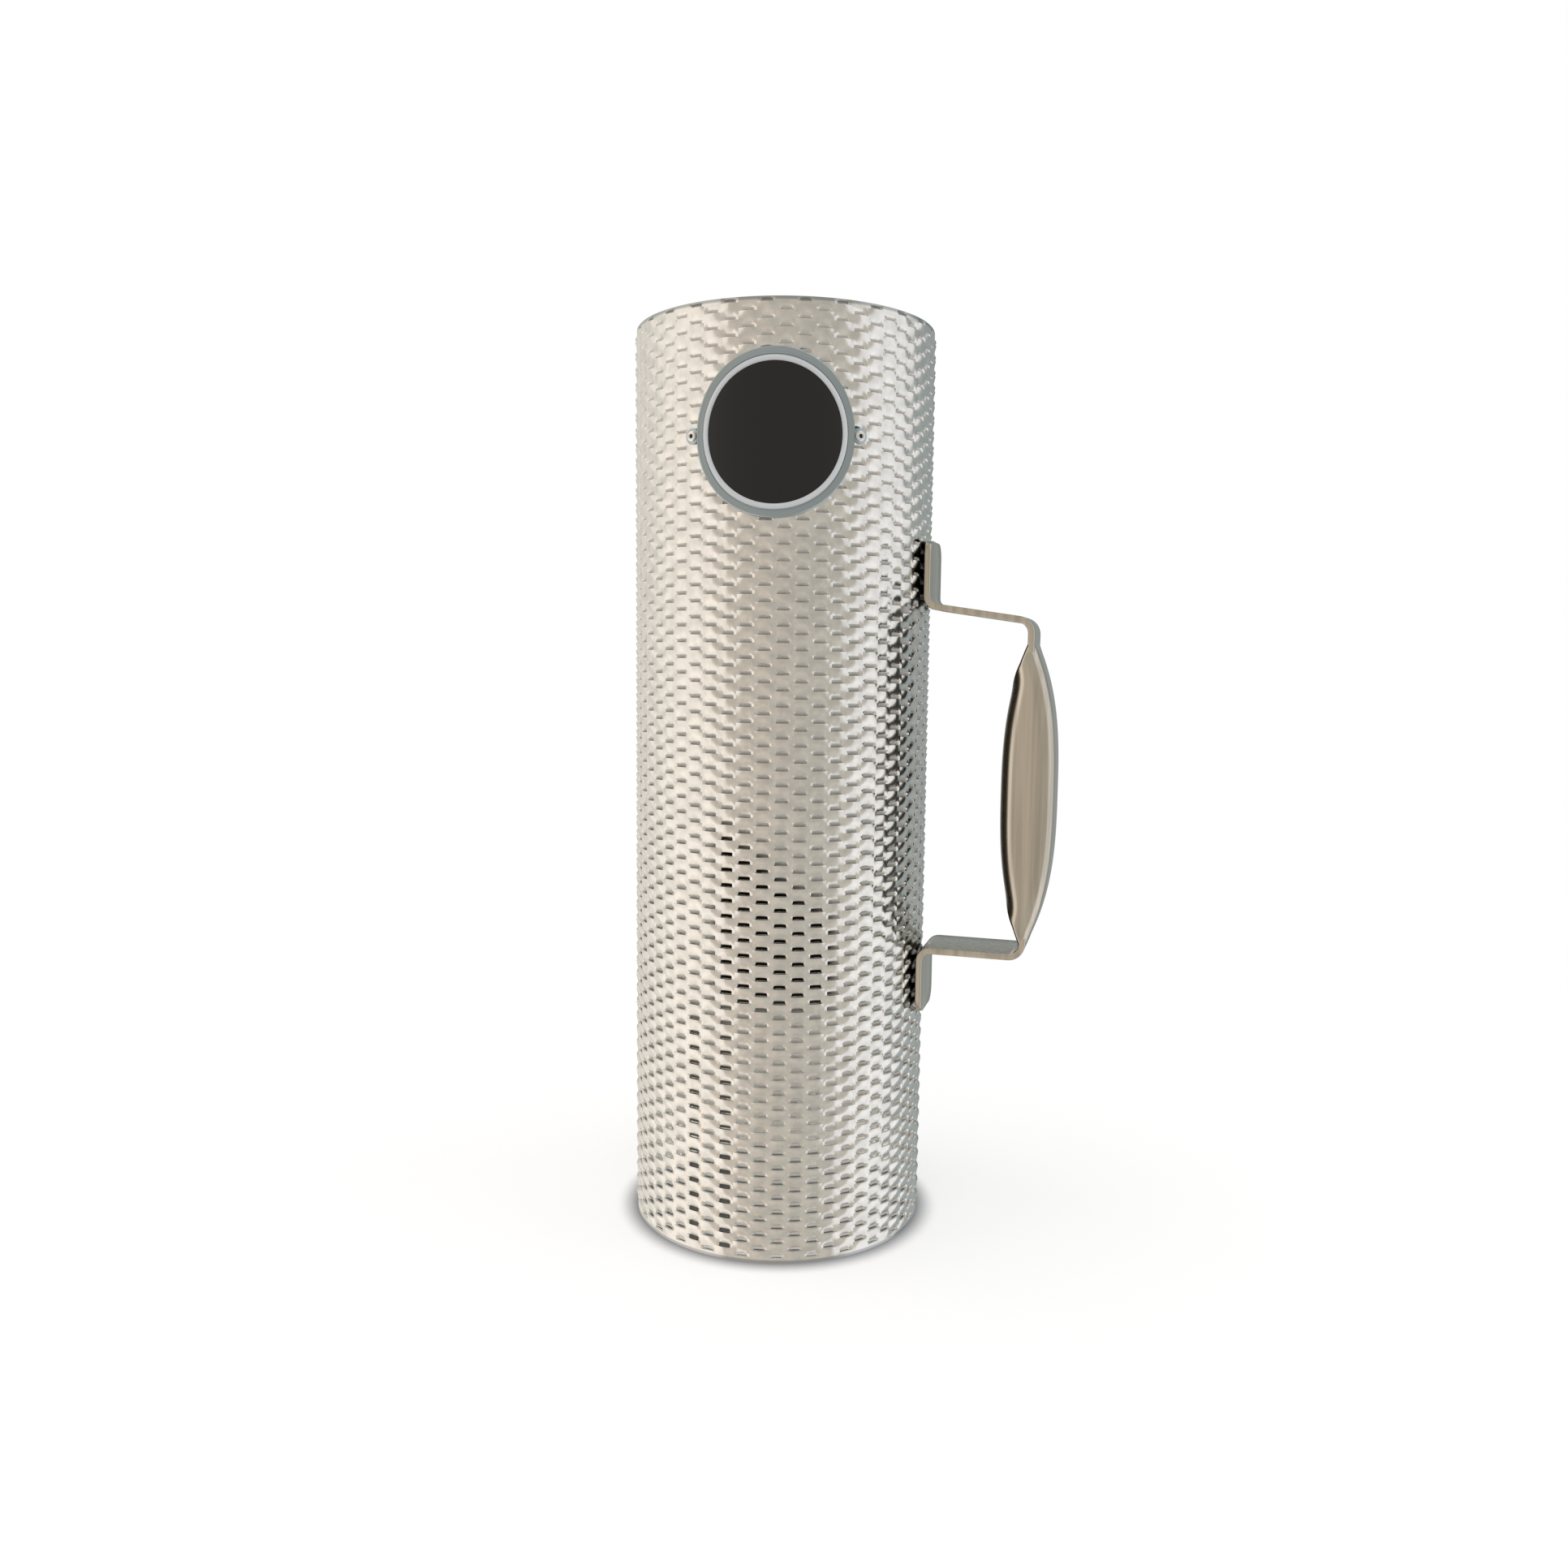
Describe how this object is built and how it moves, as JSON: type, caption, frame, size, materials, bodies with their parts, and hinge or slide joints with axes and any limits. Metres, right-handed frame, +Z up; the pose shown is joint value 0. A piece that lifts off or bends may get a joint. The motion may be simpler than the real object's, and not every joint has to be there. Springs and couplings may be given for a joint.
{
  "type": "guira",
  "caption": "A guira: a straight sheet-metal tube, open at both ends, whose wall of raised staggered scales is scraped with a fork, with a rolled strip handle and a round riveted badge",
  "frame": {"origin": "centre of the tube's lower rim, on the plane the guira stands on", "axes": "+Z up along the tube's axis, +X towards the handle, +Y completing the right-handed frame; the badge is on the -Y side, 77 degrees round from the handle"},
  "size_m": [0.146, 0.1033, 0.304],
  "materials": {
    "wall_steel": "satin, rolled sheet",
    "handle_steel": "semi-bright, plated",
    "badge_enamel": "gloss enamel on metal",
    "badge_metal": "bright"
  },
  "bodies": {
    "root": {"scraper_wall": "wall_steel", "handle": "handle_steel", "badge_plate": "badge_enamel", "badge_rivet_left": "badge_metal", "badge_rivet_right": "badge_metal"}
  },
  "joints": []
}
